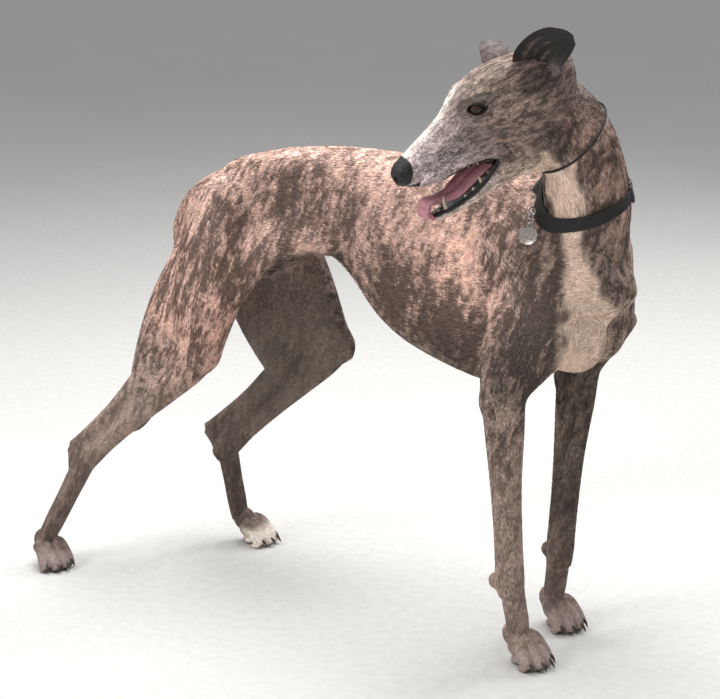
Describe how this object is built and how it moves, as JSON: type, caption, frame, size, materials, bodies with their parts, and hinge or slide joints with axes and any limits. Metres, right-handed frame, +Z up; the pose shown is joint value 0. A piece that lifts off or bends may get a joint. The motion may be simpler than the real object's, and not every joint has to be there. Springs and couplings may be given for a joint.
{
  "type": "greyhound model",
  "caption": "Life-size standing brindle greyhound looking back over its right shoulder, mouth open, with a flat collar, a thin slip collar and a round tag.",
  "frame": {"origin": "on the floor under the middle of the whole model", "axes": "+X towards the front of the body, +Y towards the dog's left, +Z up"},
  "size_m": [0.9808, 0.392, 0.9015],
  "materials": {
    "coat": "short brindle coat",
    "ear_coat": "short dark coat",
    "nose_leather": "moist",
    "tongue_flesh": "moist",
    "eye_glass": "polished",
    "webbing": "woven",
    "plastic": "satin",
    "tag_steel": "worn"
  },
  "bodies": {
    "root": {"torso": "coat", "neck": "coat", "head": "coat", "lower_jaw": "coat", "foreleg_left": "coat", "foreleg_right": "coat", "hindleg_left": "coat", "hindleg_right": "coat", "forepaw_left": "coat", "forepaw_right": "coat", "hindpaw_left": "coat", "hindpaw_right": "coat", "tail_root": "coat", "tail_tip": "coat", "ear_left": "ear_coat", "ear_right": "ear_coat", "nose": "nose_leather", "tongue": "tongue_flesh", "eye_left": "eye_glass", "eye_right": "eye_glass", "collar": "webbing", "slip_collar": "webbing", "buckle": "plastic", "collar_ring": "tag_steel", "tag_hook": "tag_steel", "tag_ring": "tag_steel", "tag": "tag_steel"}
  },
  "joints": []
}
